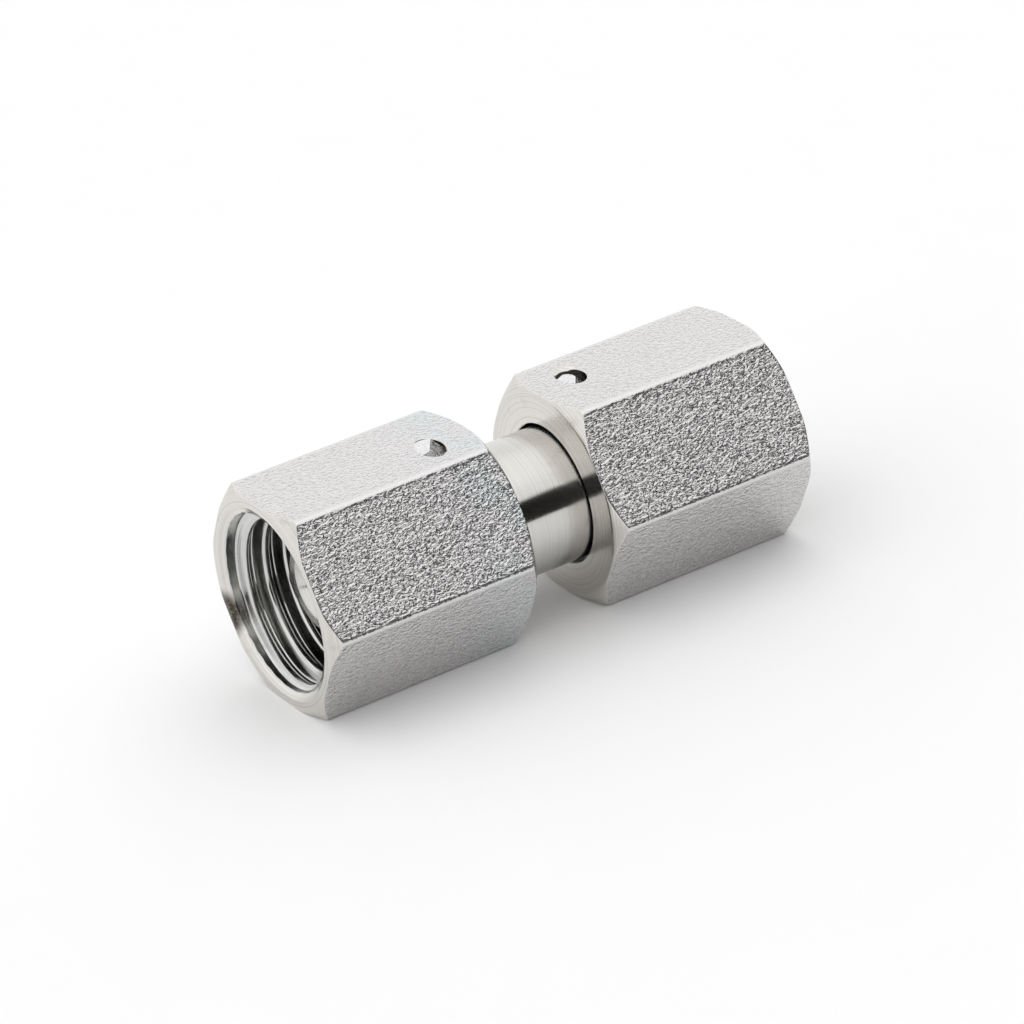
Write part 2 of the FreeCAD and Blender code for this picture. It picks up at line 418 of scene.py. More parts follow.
class ShaderSheet(TreeWriter):
    """A new material's node tree with its main shader, and short ways to add what finishes share."""

    def __init__(self, name: str) -> None:
        """Makes the material and keeps its tree and main shader."""
        self.material = bpy.data.materials.new(name)
        self.material.use_nodes = True
        super().__init__(self.material.node_tree)
        self.shader = self.tree.nodes["Principled BSDF"]
        coordinates = self.node("ShaderNodeTexCoord")
        self.place = self.node("ShaderNodeVectorMath", {"operation": "SCALE"},
                               {0: coordinates.outputs["Object"], "Scale": 1 / METRES_PER_MM}).outputs[0]

    def set(self, **values: object) -> None:
        """Sets or feeds the main shader's inputs, named with underscores for spaces."""
        for name, value in values.items():
            self.feed(self.shader.inputs[name.replace("_", " ").title()], value)

    def noise(self, grain_mm: float, detail: float = 2.0, roughness: float = 0.5, seed: float = 0.0,
              stretch: float = 1.0) -> Formula:
        """Cloudy noise around 0.5, with lumps of a size in millimetres that stretch draws out along X."""
        drawn = self.node("ShaderNodeVectorMath", {"operation": "MULTIPLY"},
                          {0: self.place, 1: (1 / stretch, 1.0, 1.0)}).outputs[0]
        return self.number("ShaderNodeTexNoise", {"noise_dimensions": "4D"}, {
            "Vector": drawn, "W": seed, "Scale": 1 / grain_mm, "Detail": detail, "Roughness": roughness})

    def coordinate(self, axis: str) -> Formula:
        """The place along one axis in millimetres."""
        return self.number("ShaderNodeSeparateXYZ", inputs={0: self.place}, output=axis)

    def turning_marks(self, feed_mm: float, lengthways: float = 0.7) -> Formula:
        """Rings that a lathe tool leaves on any face turned about X. They run by radius and length at once.

        Args:
            feed_mm: the distance from one ring to the next on an end face.
            lengthways: how much a step along X counts beside one in radius.

        Returns:
            A number around 0.5.
        """
        along, across, up = (self.coordinate(axis) for axis in "XYZ")
        radius = (across * across + up * up).math("SQRT")
        return self.number("ShaderNodeTexNoise", {"noise_dimensions": "1D"}, {
            "W": radius + along * lengthways, "Scale": 1 / feed_mm, "Detail": 2.0, "Roughness": 0.6})

    def mixed(self, share: Formula, first: bpy.types.NodeSocket | str,
              second: bpy.types.NodeSocket | str) -> bpy.types.NodeSocket:
        """The first colour at a share of 0, the second at 1, each a socket or an sRGB colour's digits."""
        colours = [linear_colour(colour) if isinstance(colour, str) else colour for colour in (first, second)]
        return self.node("ShaderNodeMix", {"data_type": "RGBA"},
                         {0: share, 6: colours[0], 7: colours[1]}).outputs[2]

    def bump(self, height: Formula, depth_mm: float, strength: Formula | float = 1.0) -> bpy.types.NodeSocket:
        """The normal bent by a relief from 0 to 1 that is so many millimetres deep."""
        inputs = {"Strength": strength, "Distance": depth_mm * METRES_PER_MM, "Height": height}
        return self.node("ShaderNodeBump", inputs=inputs).outputs[0]


@dataclass(frozen=True)
class ZincPlatedBar:
    """Zinc plate with clear passivation over drawn hexagonal bar: a coarse pitted grain on the flats, satin
    bright, with a bluish cast where the passivation is thick. The pits are painted darker, partly as dirt and
    deeper zinc and partly as painted shade in them."""

    name: str
    steel: str = "DAD7D7"
    passivation: str = "D3D9DA"
    pit_dirt_and_shade: str = "CAC6C6"
    roughness: float = 0.27
    roughness_spread: float = 0.12
    fine_grain_mm: float = 0.12
    grain_mm: float = 0.2
    stretch: float = 1.4
    grain_depth_mm: float = 0.06
    cloud_mm: float = 2.5
    cloud_from_mm: float = -9.0
    cloud_to_mm: float = -3.5

    def material(self) -> bpy.types.Material:
        """The finish as a material."""
        sheet = ShaderSheet(self.name)
        flat = sheet.number("ShaderNodeAttribute", {"attribute_name": FLAT_SHARE}, output="Fac")
        along = sheet.coordinate("X")
        inner_end = along.ramp(self.cloud_from_mm, self.cloud_to_mm) * along.math("LESS_THAN", 0.0)
        cloud = sheet.noise(self.cloud_mm, seed=4.0).ramp(0.3, 0.6) * inner_end
        fine = sheet.noise(self.fine_grain_mm, seed=9.0)
        grain = sheet.noise(self.grain_mm, detail=1.0, seed=2.0, stretch=self.stretch)
        clear = sheet.mixed(cloud, self.steel, self.passivation)
        # The pits get a darker colour: partly dirt and deeper zinc, partly painted shade in the pits.
        deep = grain.ramp(0.5, 0.3) * flat
        sheet.set(base_color=sheet.mixed(deep, clear, self.pit_dirt_and_shade), metallic=1.0,
                  roughness=fine * self.roughness_spread + (self.roughness - self.roughness_spread / 2))
        sheet.set(normal=sheet.bump(grain.ramp(0.25, 0.75), self.grain_depth_mm, flat))
        return sheet.material


@dataclass(frozen=True)
class ZincPlatedTurning:
    """Zinc plate over a turned face: bright, with fine rings about the axis that draw highlights out across
    them, faint smudges, and a patch of oil and dirt by the left mouth."""

    name: str
    steel: str = "D0CECA"
    roughness: float = 0.17
    anisotropy: float = 0.9
    feed_mm: float = 0.1
    ring_depth_mm: float = 0.004
    ring_shade: str = "C9C7C3"
    smudge: str = "A8A49E"
    smudge_mm: float = 1.6
    smudge_share: float = 0.5
    smudge_roughness: float = 0.08
    oil: str = "4A433B"
    oil_place_mm: tuple[float, float, float] = (-18.185, 6.5, -3.1)
    oil_reach_mm: float = 2.0
    oil_grain_mm: float = 0.4

    def material(self) -> bpy.types.Material:
        """The finish as a material."""
        sheet = ShaderSheet(self.name)
        smudges = sheet.noise(self.smudge_mm, detail=3.0, roughness=0.6, seed=7.0).ramp(0.55, 0.8)
        round_axis = sheet.node("ShaderNodeTangent", {"direction_type": "RADIAL", "axis": "X"})
        rings = sheet.turning_marks(self.feed_mm)
        steel = sheet.mixed(rings.ramp(0.55, 0.35), self.steel, self.ring_shade)
        gap = sheet.number("ShaderNodeVectorMath", {"operation": "DISTANCE"},
                           {0: sheet.place, 1: self.oil_place_mm}, output="Value")
        near = gap.ramp(self.oil_reach_mm, self.oil_reach_mm / 2)
        oily = sheet.noise(self.oil_grain_mm, detail=3.0, roughness=0.7, seed=8.0).ramp(0.9, 0.5) * near
        steel = sheet.mixed(smudges * self.smudge_share, steel, self.smudge)
        sheet.set(base_color=sheet.mixed(oily, steel, self.oil), metallic=1.0,
                  roughness=smudges * self.smudge_roughness + self.roughness, anisotropic=self.anisotropy,
                  anisotropic_rotation=0.25, tangent=round_axis.outputs[0],
                  normal=sheet.bump(rings, self.ring_depth_mm))
        return sheet.material


@dataclass(frozen=True)
class WorkedSteel:
    """Steel as drawing, tearing or drilling leaves it: bright along a drawn wire and where that was cut off
    level, grey and rough in the facets where it tore, and painted dark inside a drilled hole, as painted shade."""

    name: str
    steel: str = "EAE9EA"
    stain: str = "C9C7C6"
    roughness: float = 0.3
    roughness_spread: float = 0.2
    grain_mm: float = 0.15
    depth_mm: float = 0.015

    def material(self) -> bpy.types.Material:
        """The finish as a material."""
        sheet = ShaderSheet(self.name)
        grain = sheet.noise(self.grain_mm, detail=3.0, roughness=0.6, seed=5.0)
        sheet.set(base_color=sheet.mixed(grain.ramp(0.35, 0.75), self.steel, self.stain), metallic=1.0,
                  roughness=grain * self.roughness_spread + (self.roughness - self.roughness_spread / 2),
                  normal=sheet.bump(grain, self.depth_mm))
        return sheet.material


@dataclass(frozen=True)
class NitrileRubber:
    """Moulded nitrile rubber: near black, matte, with the faint bloom of an oiled seal."""

    name: str
    rubber: str = "1B1B1C"
    bloom: str = "2E2E30"
    bloom_mm: float = 0.5
    roughness: float = 0.55
    roughness_spread: float = 0.15
    depth_mm: float = 0.01

    def material(self) -> bpy.types.Material:
        """The finish as a material."""
        sheet = ShaderSheet(self.name)
        bloom = sheet.noise(self.bloom_mm, detail=3.0, roughness=0.6, seed=3.0)
        sheet.set(base_color=sheet.mixed(bloom.ramp(0.4, 0.8), self.rubber, self.bloom),
                  roughness=bloom * self.roughness_spread + self.roughness,
                  normal=sheet.bump(bloom, self.depth_mm))
        return sheet.material


def eased(corners: list[tuple[float, float]], radius: float, steps: int = 3,
          edge_share: float = 0.4) -> list[tuple[float, float]]:
    """Rounds the corners of a closed section.

    Args:
        corners: its points in running order.
        radius: how far from a corner the rounding starts.
        steps: how many lines make one rounding.
        edge_share: the largest share of an edge that a rounding takes.

    Returns:
        The points of the eased section.
    """
    points = [np.array(corner, float) for corner in corners]
    rounded = []
    for before, corner, after in zip(points[-1:] + points[:-1], points, points[1:] + points[:1]):
        back, ahead = before - corner, after - corner
        lengths = np.linalg.norm(back), np.linalg.norm(ahead)
        reach = min(radius, edge_share * min(lengths))
        start, end = corner + back / lengths[0] * reach, corner + ahead / lengths[1] * reach
        for share in np.linspace(0, 1, steps + 1):
            on_arc = (1 - share) ** 2 * start + 2 * share * (1 - share) * corner + share ** 2 * end
            rounded.append(tuple(on_arc))
    return rounded


def mend(work: bmesh.types.BMesh) -> None:
    """Joins points that lie together, drops faces without area and turns all faces outwards.

    Args:
        work: the mesh, in millimetres.
    """
    bmesh.ops.remove_doubles(work, verts=work.verts, dist=MERGE_MM)
    bmesh.ops.dissolve_degenerate(work, edges=work.edges, dist=MERGE_MM / 2)
    bmesh.ops.recalc_face_normals(work, faces=work.faces)


def finish_piece(name: str, mesh: bpy.types.Mesh, body: str, replaced: str) -> bpy.types.Object:
    """Brings a mesh from millimetres to metres and makes it a piece that stands for a solid.

    Args:
        name: the piece's name.
        mesh: its mesh, in place.
        body: the body that it moves with.
        replaced: the solid that it stands for.

    Returns:
        The piece.
    """
    work = bmesh.new()
    work.from_mesh(mesh)
    mend(work)
    for edge in work.edges:
        edge.smooth = len(edge.link_faces) == 2 and edge.calc_face_angle(0.0) < math.radians(SHARP_DEGREES)
    for face in work.faces:
        face.smooth = True
    open_edges = sum(len(edge.link_faces) != 2 for edge in work.edges)
    work.transform(Matrix.Scale(METRES_PER_MM, 4))
    work.to_mesh(mesh)
    work.free()
    piece = add_object(name, mesh)
    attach(piece, body)
    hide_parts(replaced)
    mesh.calc_loop_triangles()
    LOG.info("%s: %d triangles, %d open edges, rides on %s", name, len(mesh.loop_triangles), open_edges, body)
    return piece


def wire_groove(centre: float, wall_radius: float, steps: int) -> list[tuple[float, float]]:
    """The section of the wire's round-bottomed groove in a turned wall, from left to right.

    Args:
        centre: the groove's place along X.
        wall_radius: the wall's radius, beyond the wire's ring in a bore and inside it on a shank.
        steps: how many lines make the arc.

    Returns:
        Points as X and radius.
    """
    offset = wall_radius - WIRE_RING_RADIUS
    half_width = math.sqrt(WIRE_GROOVE_RADIUS ** 2 - offset ** 2)
    points = []
    for share in np.linspace(-1, 1, steps + 1):
        across = half_width * math.sin(share * math.pi / 2)
        depth = math.sqrt(WIRE_GROOVE_RADIUS ** 2 - across ** 2)
        points.append((centre + across, WIRE_RING_RADIUS + math.copysign(depth, offset)))
    return points


def wire_tail(centre: float, level: float) -> tuple[Vector, Vector, Vector]:
    """The slanting line of a left-hand wire's tail and of the hole for it.

    Args:
        centre: the place of the wire's ring along X.
        level: a height above the axis.

    Returns:
        Where the tail leaves the ring, the direction in which it runs out, and where it reaches the level.
    """
    lean = math.radians(90 - WIRE_TILT)
    foot = Vector((centre, math.sin(lean) * WIRE_RING_RADIUS, math.cos(lean) * WIRE_RING_RADIUS))
    outward = Vector((0.0, -math.cos(lean), math.sin(lean)))
    return foot, outward, foot + outward * ((level - foot.z) / outward.z)


def rotation_to(direction: Vector) -> Matrix:
    """A turn that brings Z into a direction."""
    return direction.to_track_quat("Z", "Y").to_matrix().to_4x4()


def point_places(mesh: bpy.types.Mesh) -> np.ndarray:
    """The places of a mesh's points, a row for each."""
    return np.array([vertex.co for vertex in mesh.vertices])


def section_mesh(points: list[tuple[float, float]]) -> bpy.types.Mesh:
    """A mesh of section points.

    Args:
        points: X and radius of each point.

    Returns:
        The mesh, with the radius up Z.
    """
    mesh = bpy.data.meshes.new("section")
    mesh.from_pydata([(x, 0.0, radius) for x, radius in points], [], [])
    return mesh


@dataclass(frozen=True)
class Nut:
    """A swivel nut in millimetres, made with its inner end at 0 and its mouth towards -X."""

    side: Side
    across_flats: float = 14.0
    length: float = 15.3
    corner_radius: float = 0.4
    corner_smoothing: float = 0.2
    corner_grain: float = 0.3
    chamfer_angle: float = 35.0
    mouth_face_radius: float = 7.15
    inner_face_radius: float = 7.05
    thread_major_radius: float = 6.0
    thread_minor_radius: float = 5.188
    thread_pitch: float = 1.5
    thread_start: float = 0.15
    crest_rounding: float = 0.3
    root_flat: float = 0.2
    lead_in_wear: float = 0.9
    mouth_radius: float = 6.5
    countersink_angle: float = 120.0
    relief_radius: float = 6.15
    relief_width: float = 1.6
    neck_radius: float = 4.75
    neck_length: float = 4.6
    neck_edge_break: float = 0.05
    groove_steps: int = 14
    hole_radius: float = 0.9
    hole_edge_break: float = 0.16
    hole_length: float = 9.0
    edge_softness: float = 0.03
    flat_edge: float = 0.05
    flat_edge_lag: float = 0.6
    relief_grain: float = 0.4
    relief_depth: float = 0.05
    flat_steps: int = 60
    corner_steps: int = 6
    end_rows: int = 18
    end_reach: float = 1.0
    face_start_radius: float = 6.7
    ray_count: int = 240
    ray_reach: float = 3.0
    halvings: int = 36
    bend_weight: float = 0.35
    grain_step: float = 0.127
    bore_segments: int = 132
    rows_per_pitch: int = 32

    @property
    def node(self) -> str:
        """The solid that this nut stands for."""
        return f"{self.side.value}_swivel_nut"

    @property
    def half_flat(self) -> float:
        """Half the width of a flat between its rounded corners."""
        return (self.across_flats / 2 - self.corner_radius) * math.tan(math.pi / 6)

    def outline(self) -> np.ndarray:
        """The hexagon's points round the axis, flats in even steps and corners as arcs.

        Returns:
            A row for each point, with Y and Z.
        """
        def heading(angle: float) -> np.ndarray:
            """A unit arrow at an angle from Y."""
            return np.array([math.cos(angle), math.sin(angle)])

        apothem = self.across_flats / 2
        arc_centre = (apothem - self.corner_radius) / math.cos(math.pi / 6)
        points = []
        for facing in FLAT_HEADINGS:
            for step in np.linspace(-self.half_flat, self.half_flat, self.flat_steps + 1):
                points.append(heading(facing) * apothem + heading(facing + math.pi / 2) * step)
            centre = heading(facing + math.pi / 6) * arc_centre
            for share in np.arange(1, self.corner_steps) / self.corner_steps:
                points.append(centre + heading(facing + share * math.pi / 3) * self.corner_radius)
        return np.array(points)

    def limits(self, depth: np.ndarray, radius: np.ndarray, outline_radius: np.ndarray,
               face_radius: float) -> tuple[np.ndarray, np.ndarray, np.ndarray]:
        """How far points lie outside an end's face, the hexagon and the end's chamfer.

        Args:
            depth: how far inside the face they lie.
            radius: how far from the axis.
            outline_radius: the hexagon's distance from the axis there.
            face_radius: where the chamfer starts.

        Returns:
            The three distances.
        """
        slope = math.radians(self.chamfer_angle)
        chamfer = ((radius - face_radius) * math.tan(slope) - depth) * math.cos(slope)
        return -depth, radius - outline_radius, chamfer

    def end_section(self, outline_radius: np.ndarray, face_radius: float) -> np.ndarray:
        """Rows that run from an end's face over its softened chamfer to the flats.

        Args:
            outline_radius: the hexagon's distance from the axis at each point of the outline.
            face_radius: where the end's chamfer starts.

        Returns:
            For each row the depths of its points, and their radii.
        """
        rays = np.linspace(0, math.pi / 2, self.ray_count)
        down, out = np.cos(rays)[None, :], np.sin(rays)[None, :]
        limit = outline_radius[:, None]
        near = np.zeros((len(outline_radius), self.ray_count))
        far = np.full_like(near, self.ray_reach)
        for _ in range(self.halvings):
            middle = (near + far) / 2
            depth = self.end_reach - middle * down
            radius = self.face_start_radius + middle * out
            distances = np.stack(self.limits(depth, radius, limit, face_radius))
            outside = self.edge_softness * np.log(np.exp(distances / self.edge_softness).sum(0)) > 0
            near, far = np.where(outside, near, middle), np.where(outside, middle, far)
        depth, radius = self.end_reach - near * down, self.face_start_radius + near * out
        steps = np.stack([np.diff(depth), np.diff(radius)])
        heading = np.unwrap(np.arctan2(steps[1], steps[0]))
        bend = np.abs(np.diff(heading, axis=1, prepend=heading[:, :1]))
        weight = np.cumsum(np.hypot(*steps) + self.bend_weight * bend, axis=1)
        rows = np.zeros((self.end_rows, 2, len(outline_radius)))
        for column, weights in enumerate(weight):
            marks = np.linspace(0, weights[-1], self.end_rows)
            knots = np.concatenate([[0], weights])
            rows[:, 0, column] = np.interp(marks, knots, depth[column])
            rows[:, 1, column] = np.interp(marks, knots, radius[column])
        return rows

    def skin_rings(self) -> list[np.ndarray]:
        """Rings of points from the mouth's face, over the flats, to the inner face.

        Returns:
            The rings.
        """
        outline = self.outline()
        reach = np.hypot(outline[:, 0], outline[:, 1])
        heading = outline / reach[:, None]
        mouth_end = self.end_section(reach, self.mouth_face_radius)
        inner_end = self.end_section(reach, self.inner_face_radius)[::-1]
        flat_rows = round((self.length - 2 * self.end_reach) / self.grain_step)
        flats = np.linspace(self.end_reach - self.length, -self.end_reach, flat_rows + 1)[1:-1]
        rows = [(depth - self.length, radius) for depth, radius in mouth_end]
        rows += [(np.full_like(reach, x), reach) for x in flats]
        rows += [(-depth, radius) for depth, radius in inner_end]
        return [np.column_stack([x, heading * radius[:, None]]) for x, radius in rows]

    def bore_rings(self) -> list[np.ndarray]:
        """Rings of points from the relief behind the thread, through the neck, to the inner face.

        Returns:
            The rings.
        """
        relief_end = -self.neck_length
        section = [(relief_end - self.relief_width, self.relief_radius), (relief_end, self.relief_radius),
                   (relief_end, self.neck_radius)]
        section += wire_groove(-WIRE_SETBACK, self.neck_radius, self.groove_steps)
        section += [(-self.neck_edge_break, self.neck_radius), (0.0, self.neck_radius + self.neck_edge_break),
                    (0.0, self.neck_radius + 2 * self.neck_edge_break)]
        return [ring_at(x, radius, self.bore_segments) for x, radius in section]

    def thread_wall(self, finish: bpy.types.Material) -> bpy.types.Mesh:
        """The threaded wall, made by its rule."""
        return thread_rule().run(bpy.data.meshes.new("empty"), {
            "Segments": self.bore_segments,
            "Rows per Pitch": self.rows_per_pitch,
            "Pitch": self.thread_pitch,
            "Minor Radius": self.thread_minor_radius,
            "Major Radius": self.thread_major_radius,
            "Mouth": -self.length,
            "Mouth Radius": self.mouth_radius,
            "Countersink Slope": math.tan(math.radians(self.countersink_angle / 2)),
            "Relief": -self.neck_length - self.relief_width,
            "Relief Radius": self.relief_radius,
            "Flank Slope": 1 / math.tan(math.radians(30)),
            "Rounding": self.crest_rounding,
            "Root Flat": self.root_flat,
            "Lead-in Wear": self.lead_in_wear,
            "Start": self.thread_start,
            "Finish": finish,
        })

    def shell(self, finishes: list[bpy.types.Material]) -> bpy.types.Mesh:
        """The nut's closed surface before its wire hole is drilled.

        Args:
            finishes: the finishes in the order of NutFinish.

        Returns:
            The mesh, with its materials.
        """
        work = bmesh.new()
        work.from_mesh(self.thread_wall(finishes[NutFinish.BORE]))
        for face in work.faces:
            face.material_index = NutFinish.BORE
        mouth = ring_at(-self.length, self.mouth_radius, self.bore_segments)
        bore = self.bore_rings()
        add_rings(work, [mouth] + self.skin_rings() + bore[-1:], NutFinish.FLATS)
        add_rings(work, bore, NutFinish.BORE)
        mend(work)
        mesh = bpy.data.meshes.new(self.node)
        work.to_mesh(mesh)
        work.free()
        for finish in finishes:
            mesh.materials.append(finish)
        return mesh

    def drilled(self, mesh: bpy.types.Mesh) -> bpy.types.Mesh:
        """Drills the slanting hole that the locking wire was driven in by.

        Args:
            mesh: the nut before.

        Returns:
            The nut with its hole.
        """
        foot, outward, mouth = wire_tail(-WIRE_SETBACK, self.across_flats / 2)
        place = Matrix.Translation(foot + outward * self.hole_length / 2) @ rotation_to(outward)
        hole = tapered_drill(place, self.hole_radius, self.hole_radius, self.hole_length)
        mesh = cut_away(mesh, hole, mesh.materials[NutFinish.HOLE])
        stretched = Matrix.Diagonal((1.0, 1 / outward.z, 1.0, 1.0))
        rim = tapered_drill(Matrix.Translation(mouth) @ stretched, self.hole_radius - self.hole_edge_break,
                            self.hole_radius + 2 * self.hole_edge_break, 3 * self.hole_edge_break)
        return cut_away(mesh, rim, mesh.materials[NutFinish.ENDS])

    def mark_flats(self, mesh: bpy.types.Mesh) -> None:
        """Writes for each point how far it belongs to the flats, and gives the turned faces their finish.

        Args:
            mesh: the nut.
        """
        places = point_places(mesh)
        reach = (places[:, 1:2] * np.cos(FLAT_HEADINGS) + places[:, 2:3] * np.sin(FLAT_HEADINGS)).max(1)
        radius = np.hypot(places[:, 1], places[:, 2])
        flat = reach - self.across_flats / 2
        barred = np.clip(1 + flat / (2 * self.flat_edge), 0, 1)
        for depth, face_radius in ((places[:, 0] + self.length, self.mouth_face_radius),
                                   (-places[:, 0], self.inner_face_radius)):
            face, _, chamfer = self.limits(depth, radius, radius, face_radius)
            inside = (flat - np.maximum(face, chamfer)) / self.flat_edge
            barred *= np.clip(inside - self.flat_edge_lag, 0, 1)
        across = np.sqrt(np.maximum(radius ** 2 - reach ** 2, 0))
        grained = np.clip((self.half_flat - across) / self.corner_smoothing, self.corner_grain, 1)
        attribute = mesh.attributes.new(FLAT_SHARE, "FLOAT", "POINT")
        attribute.data.foreach_set("value", (barred * grained).astype(np.float32))
        outside_thread = radius > self.thread_major_radius + self.flat_edge / 2
        countersunk = outside_thread & (places[:, 0] < self.end_reach - self.length)
        for face in mesh.polygons:
            corners = list(face.vertices)
            if (face.material_index == NutFinish.FLATS and not barred[corners].any()
                    or face.material_index == NutFinish.BORE and countersunk[corners].all()):
                face.material_index = NutFinish.ENDS

    def build(self, finishes: list[bpy.types.Material]) -> bpy.types.Object:
        """Makes the nut and sets it in place.

        Args:
            finishes: the finishes in the order of NutFinish.

        Returns:
            The piece.
        """
        mesh = self.drilled(self.shell(finishes))
        self.mark_flats(mesh)
        mesh = relief_rule().run(mesh, {
            "Grain": self.relief_grain, "Depth": self.relief_depth, "Seed": 3.0,
            "Finish": finishes[NutFinish.FLATS]})
        mesh.transform(self.side.turn @ Matrix.Translation((-NUT_GAP / 2, 0.0, 0.0)))
        return finish_piece(f"{self.node}_finished", mesh, self.side.nut_body, self.node)


def cut_away(mesh: bpy.types.Mesh, cutter: bmesh.types.BMesh, finish: bpy.types.Material) -> bpy.types.Mesh:
    """Takes the room of a cutter out of a mesh.

    Args:
        mesh: what is cut.
        cutter: what is taken away.
        finish: the finish of the cut faces, one of the mesh's own.

    Returns:
        The cut mesh.
    """
    cutter_mesh = bpy.data.meshes.new("cutter")
    cutter.to_mesh(cutter_mesh)
    cutter.free()
    cutter_mesh.materials.append(finish)
    tool = add_object("cutter", cutter_mesh)
    stock = add_object("stock", mesh)
    cut = stock.modifiers.new("cut", "BOOLEAN")
    cut.operation = "DIFFERENCE"
    cut.solver = "EXACT"
    cut.object = tool
    result = plain_mesh(stock)
    for thing in (tool, stock):
        bpy.data.objects.remove(thing)
    return result


def tapered_drill(place: Matrix, low_radius: float, high_radius: float, length: float) -> bmesh.types.BMesh:
    """A round or tapered cutter.

    Args:
        place: where its middle lies, with its length along Z.
        low_radius: its radius at the lower end.
        high_radius: its radius at the upper end.
        length: how long it is.

    Returns:
        The cutter.
    """
    drill = bmesh.new()
    bmesh.ops.create_cone(drill, cap_ends=True, segments=DRILL_SEGMENTS, radius1=low_radius,
                          radius2=high_radius, depth=length, matrix=place)
    return drill


def shears(place: Vector, normal: Vector, reach: float) -> bmesh.types.BMesh:
    """A block that cuts off what lies beyond a plane.

    Args:
        place: a point of the plane.
        normal: the way that the plane faces.
        reach: how far the block goes beyond the plane and to each side.

    Returns:
        The cutter.
    """
    block = bmesh.new()
    matrix = Matrix.Translation(place + normal * reach) @ rotation_to(normal)
    bmesh.ops.create_cube(block, size=2 * reach, matrix=matrix)
    return block


def ring_at(x: float, radius: float, segments: int) -> np.ndarray:
    """A circle of points about the X axis."""
    angles = np.arange(segments) / segments * TURN
    return np.column_stack([np.full(segments, x), radius * np.cos(angles), radius * np.sin(angles)])


def add_rings(work: bmesh.types.BMesh, rings: list[np.ndarray], finish: int) -> None:
    """Joins rings of points to a surface. Rings of like number are joined by quads, others by triangles.

    Args:
        work: the mesh that gets the surface.
        rings: the rings in running order, each turning the same way.
        finish: the material's number.
    """
    made = [[work.verts.new(point) for point in ring] for ring in rings]
    for first, second in zip(made, made[1:]):
        if len(first) == len(second):
            for number in range(len(first)):
                after = (number + 1) % len(first)
                face = work.faces.new((first[number], first[after], second[after], second[number]))
                face.material_index = finish
        else:
            stitch(work, first, second, finish)


def stitch(work: bmesh.types.BMesh, first: list[bmesh.types.BMVert], second: list[bmesh.types.BMVert],
           finish: int) -> None:
    """Joins two rings with different numbers of points by triangles.

    Args:
        work: the mesh that holds the rings.
        first: one ring's points.
        second: the other ring's points, turning the same way.
        finish: the material's number.
    """
    ordered = []
    for ring in (first, second):
        angles = [math.atan2(vertex.co.z, vertex.co.y) % TURN for vertex in ring]
        start = int(np.argmin(angles))
        turned = ring[start:] + ring[:start]
        turned_angles = angles[start:] + angles[:start]
        ordered.append((turned + turned[:1], turned_angles + [turned_angles[0] + TURN]))
    (one, one_angles), (other, other_angles) = ordered
    i = j = 0
    while i < len(one) - 1 or j < len(other) - 1:
        if j == len(other) - 1 or (i < len(one) - 1 and one_angles[i + 1] <= other_angles[j + 1]):
            corners = (one[i], one[i + 1], other[j])
            i += 1
        else:
            corners = (one[i], other[j + 1], other[j])
            j += 1
        work.faces.new(corners).material_index = finish


@dataclass(frozen=True)
class Nipple:
    """The turned body in millimetres, with a 24 degree cone, a seal groove and a wire groove at each end."""

    half_length: float = 15.085
    shank_radius: float = 4.55
    nose_radius: float = 3.0
    nose_edge_break: float = 0.15
    cone_angle: float = 24.0
    cone_length: float = 6.1
    bore_radius: float = 1.5
    bore_mouth_radius: float = 2.2
    seal_groove_width: float = 1.9
    seal_floor_radius: float = 2.5
    groove_steps: int = 12
    corner_easing: float = 0.04
    segments: int = 192

    def section(self) -> list[tuple[float, float]]:
        """The closed section of one turned wall, outside from left to right and back along the bore.

        Returns:
            Points as X and radius.
        """
        slope = math.tan(math.radians(self.cone_angle / 2))
        cone_start = self.half_length - self.cone_length
        cone_radius = self.nose_radius + self.cone_length * slope

        def on_cone(x: float) -> float:
            """The cone's radius at x."""
            return self.nose_radius + (self.half_length - x) * slope

        right = wire_groove(WIRE_CENTRE, self.shank_radius, self.groove_steps)
        seal_low, seal_high = (SEAL_CENTRE + half * self.seal_groove_width for half in (-0.5, 0.5))
        countersink = self.bore_mouth_radius - self.bore_radius
        right += [
            (cone_start - (self.shank_radius - cone_radius), self.shank_radius),
            (cone_start, cone_radius),
            (seal_low, on_cone(seal_low)),
            (seal_low, self.seal_floor_radius),
            (seal_high, self.seal_floor_radius),
            (seal_high, on_cone(seal_high)),
            (self.half_length - self.nose_edge_break, on_cone(self.half_length - self.nose_edge_break)),
            (self.half_length, self.nose_radius - self.nose_edge_break),
            (self.half_length, self.bore_mouth_radius),
            (self.half_length - countersink, self.bore_radius),
        ]
        left = [(-x, radius) for x, radius in reversed(right)]
        return left + right

    def build(self, finish: bpy.types.Material) -> bpy.types.Object:
        """Turns the body and sets it in place.

        Args:
            finish: its finish.

        Returns:
            The piece.
        """
        section = section_mesh(eased(self.section(), self.corner_easing))
        mesh = turning_rule().run(section, {"Segments": self.segments, "Finish": finish})
        return finish_piece("turned_nipple", mesh, "nipple_body", "nipple")


@dataclass(frozen=True)
class SealRing:
    """A rubber ring in millimetres, seated on the floor of its groove."""

    side: Side
    ring_radius: float = 3.26
    section_radius: float = 0.75
    section_steps: int = 28
    segments: int = 144

    def build(self, finish: bpy.types.Material) -> bpy.types.Object:
        """Moulds the ring and sets it in place.

        Args:
            finish: its finish.

        Returns:
            The piece.
        """
        angles = np.arange(self.section_steps) / self.section_steps * TURN
        section = [(-SEAL_CENTRE + self.section_radius * math.cos(angle),
                    self.ring_radius + self.section_radius * math.sin(angle)) for angle in angles]
        mesh = turning_rule().run(section_mesh(section), {"Segments": self.segments, "Finish": finish})
        mesh.transform(self.side.turn)
        node = f"{self.side.value}_seal_ring"
        return finish_piece(f"{node}_moulded", mesh, "nipple_body", node)


